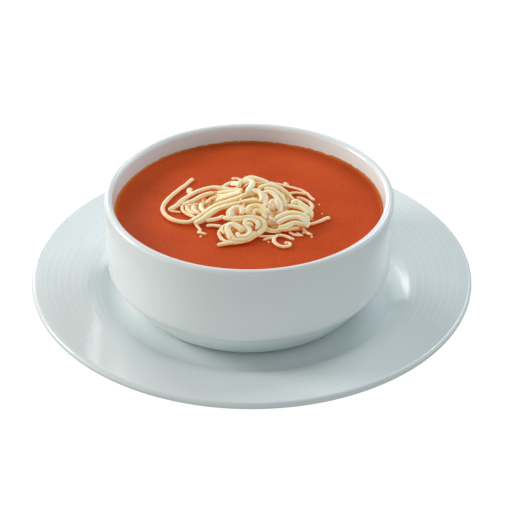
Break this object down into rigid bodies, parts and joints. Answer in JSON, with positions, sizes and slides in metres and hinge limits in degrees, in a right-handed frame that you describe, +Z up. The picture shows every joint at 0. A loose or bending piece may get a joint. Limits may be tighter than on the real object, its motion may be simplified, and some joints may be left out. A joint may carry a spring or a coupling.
{
  "type": "bowl of tomato soup on a plate",
  "caption": "Tomato soup in a straight-sided white bowl with a bevelled base, on a white plate with fine rim rings, topped with a loose heap of grated cheese.",
  "frame": {"origin": "centre of the plate's underside, on the surface it stands on", "axes": "+Z up; the picture looks along +Y and down, with +X to its right"},
  "size_m": [0.202, 0.202, 0.0605],
  "materials": {
    "plate_glaze": "glossy white glaze",
    "bowl_glaze": "glossy white glaze",
    "soup": "thick opaque orange-red soup with a moist surface",
    "cheese": "moist pale cream shreds, tinted by the soup where they lie low"
  },
  "bodies": {
    "root": {"plate": "plate_glaze", "bowl": "bowl_glaze", "soup": "soup", "grated_cheese": "cheese"}
  },
  "joints": []
}
